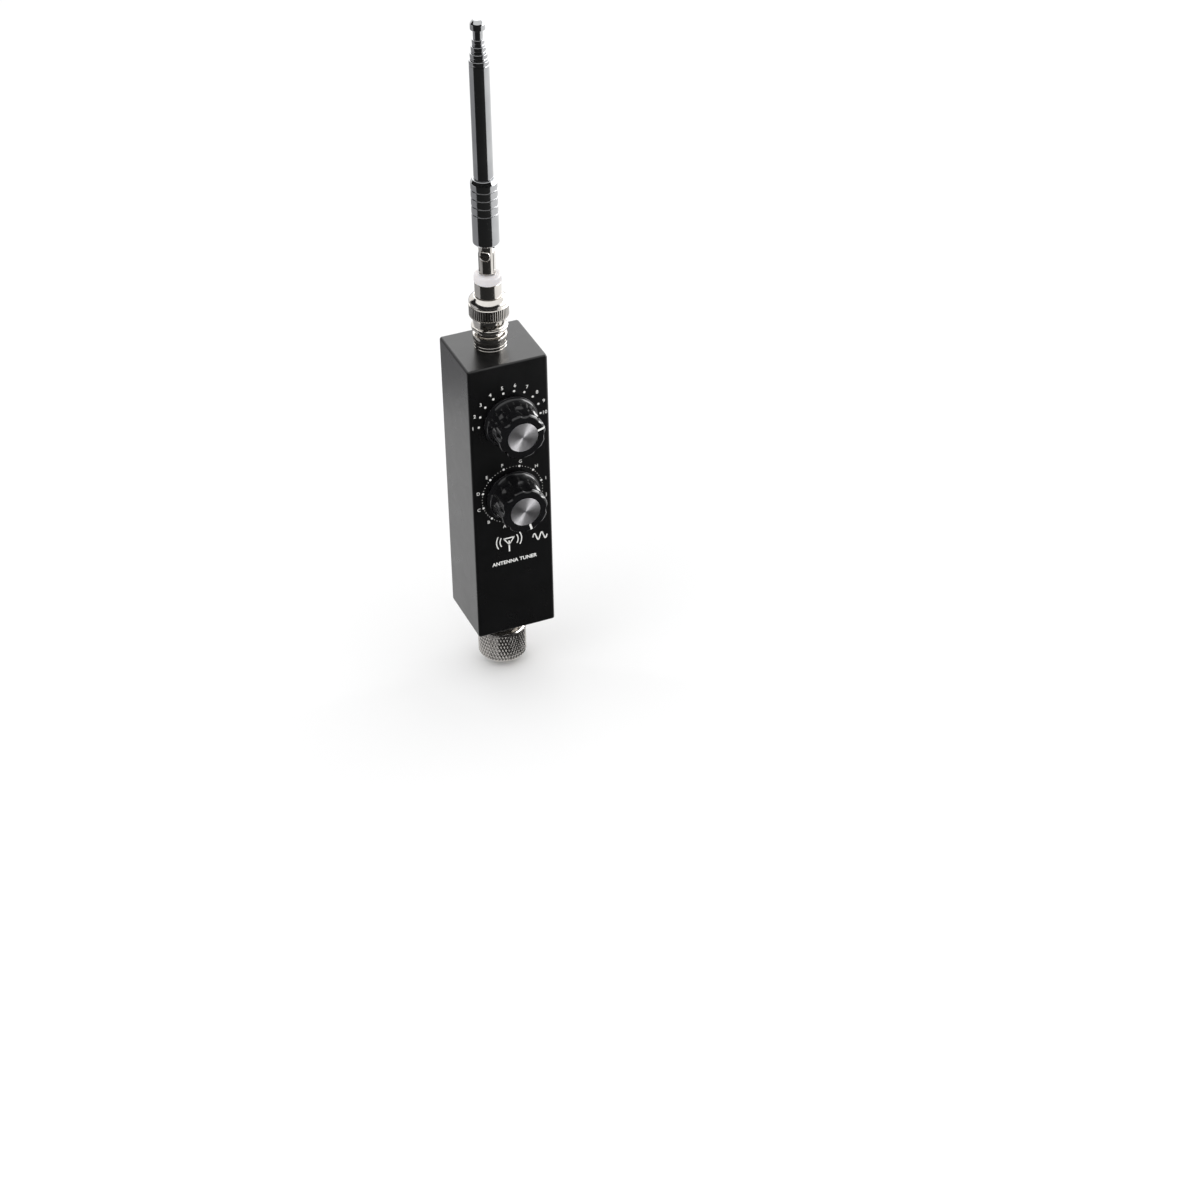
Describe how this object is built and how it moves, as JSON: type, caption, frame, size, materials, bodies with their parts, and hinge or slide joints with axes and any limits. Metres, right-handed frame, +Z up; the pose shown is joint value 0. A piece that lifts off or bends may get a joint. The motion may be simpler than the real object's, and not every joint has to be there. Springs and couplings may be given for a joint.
{
  "type": "antenna tuner",
  "caption": "Slim upright antenna tuner in a black case with a tuning knob and a band switch knob, a screw-on coaxial plug below and a jointed telescopic whip in the bayonet socket on top",
  "frame": {"origin": "On the axis of the screw-on plug, in the plane of the coupling ring's open end", "axes": "+Z up along the tuner and its whip, the dials face -Y, +X is to the right as the dials are read"},
  "size_m": [0.0308, 0.0414, 0.2646],
  "materials": {
    "case_black": "satin black moulding",
    "cover_black": "satin black moulding",
    "knob_black": "glossy black moulding",
    "spun_aluminium": "fine circular turning marks",
    "white_inlay": "white filled line",
    "black_steel": "blackened screws",
    "steel": "bright zinc",
    "nickel": "bright nickel plate on brass",
    "brass": "plain brass",
    "board_green": "green solder mask",
    "cream_plastic": "cream thermoplastic",
    "brown_laminate": "brown paper laminate",
    "core_red": "red painted iron powder",
    "copper_enamel": "enamelled copper wire",
    "wire_cover": "flexible wire covering",
    "white_insulator": "milky white fluoropolymer",
    "gasket_red": "soft silicone"
  },
  "bodies": {
    "case": {"case_tub": "case_black", "rear_cover": "cover_black", "cover_screws": "black_steel", "circuit_board": "board_green", "board_standoffs": "brass", "board_screws": "steel", "tuning_capacitor_housing": "cream_plastic", "tuning_capacitor_stator": "spun_aluminium", "tuning_capacitor_screws": "steel", "band_switch_housing": "steel", "band_switch_wafer": "brown_laminate", "band_switch_contacts": "brass", "band_switch_detent": "steel", "band_switch_washer": "steel", "band_switch_nut": "steel", "coil_core": "core_red", "coil_winding": "copper_enamel", "coil_clamp": "cream_plastic", "hookup_wires": "wire_cover", "plug_body": "nickel", "plug_insulator": "white_insulator", "plug_pin": "brass", "plug_solder_tag": "brass", "plug_nut": "steel", "socket_shell": "nickel", "socket_insulator": "white_insulator", "socket_contact": "brass", "socket_solder_tag": "brass", "socket_nut": "steel"},
    "tuning_control": {"tuning_capacitor_rotor": "brass", "tuning_shaft": "brass", "tuning_knob": "knob_black", "tuning_knob_cap": "spun_aluminium", "tuning_knob_pointer": "white_inlay", "tuning_knob_setscrew": "black_steel"},
    "band_control": {"band_switch_rotor": "cream_plastic", "band_switch_wiper": "brass", "band_switch_shaft": "steel", "band_knob": "knob_black", "band_knob_cap": "spun_aluminium", "band_knob_pointer": "white_inlay", "band_knob_setscrew": "black_steel"},
    "coupling": {"plug_coupling": "nickel"},
    "lock_ring": {"bayonet_ring": "nickel"},
    "whip_base": {"whip_plug_body": "nickel", "whip_plug_insulator": "white_insulator", "whip_plug_pin": "brass", "whip_plug_gasket": "gasket_red", "whip_insulator": "white_insulator", "elbow_tongue": "nickel"},
    "whip_lower": {"elbow_fork": "nickel", "elbow_pivot": "nickel", "whip_barrel": "nickel", "whip_tube_1": "nickel"},
    "section_2": {"whip_tube_2": "nickel"},
    "section_3": {"whip_tube_3": "nickel"},
    "section_4": {"whip_tube_4": "nickel"},
    "section_5": {"whip_rod": "nickel", "whip_tip": "nickel"}
  },
  "joints": [
    {"name": "tuning_turn", "type": "hinge", "parent": "case", "child": "tuning_control", "pos_m": [0.001, -0.0142, 0.111], "axis": [0, -1, 0], "range_deg": [-15, 165]},
    {"name": "band_turn", "type": "hinge", "parent": "case", "child": "band_control", "pos_m": [0.001, -0.0142, 0.0792], "axis": [0, -1, 0], "range_deg": [0, 330]},
    {"name": "coupling_turn", "type": "hinge", "parent": "case", "child": "coupling", "pos_m": [0, 0, 0.01], "axis": [0, 0, 1], "continuous": true},
    {"name": "lock_ring_turn", "type": "hinge", "parent": "case", "child": "lock_ring", "pos_m": [0, 0, 0.1461], "axis": [0, 0, 1], "range_deg": [0, 90]},
    {"name": "whip_swivel", "type": "hinge", "parent": "case", "child": "whip_base", "pos_m": [0, 0, 0.1545], "axis": [0, 0, 1], "continuous": true},
    {"name": "whip_tilt", "type": "hinge", "parent": "whip_base", "child": "whip_lower", "pos_m": [0, 0, 0.1724], "axis": [-0.5736, -0.8192, 0], "range_deg": [0, 90]},
    {"name": "section_2_slide", "type": "slide", "parent": "whip_lower", "child": "section_2", "axis": [0, 0, 1], "range_m": [0, 0.05]},
    {"name": "section_3_slide", "type": "slide", "parent": "section_2", "child": "section_3", "axis": [0, 0, 1], "range_m": [0, 0.05]},
    {"name": "section_4_slide", "type": "slide", "parent": "section_3", "child": "section_4", "axis": [0, 0, 1], "range_m": [0, 0.05]},
    {"name": "section_5_slide", "type": "slide", "parent": "section_4", "child": "section_5", "axis": [0, 0, 1], "range_m": [0, 0.05]}
  ]
}
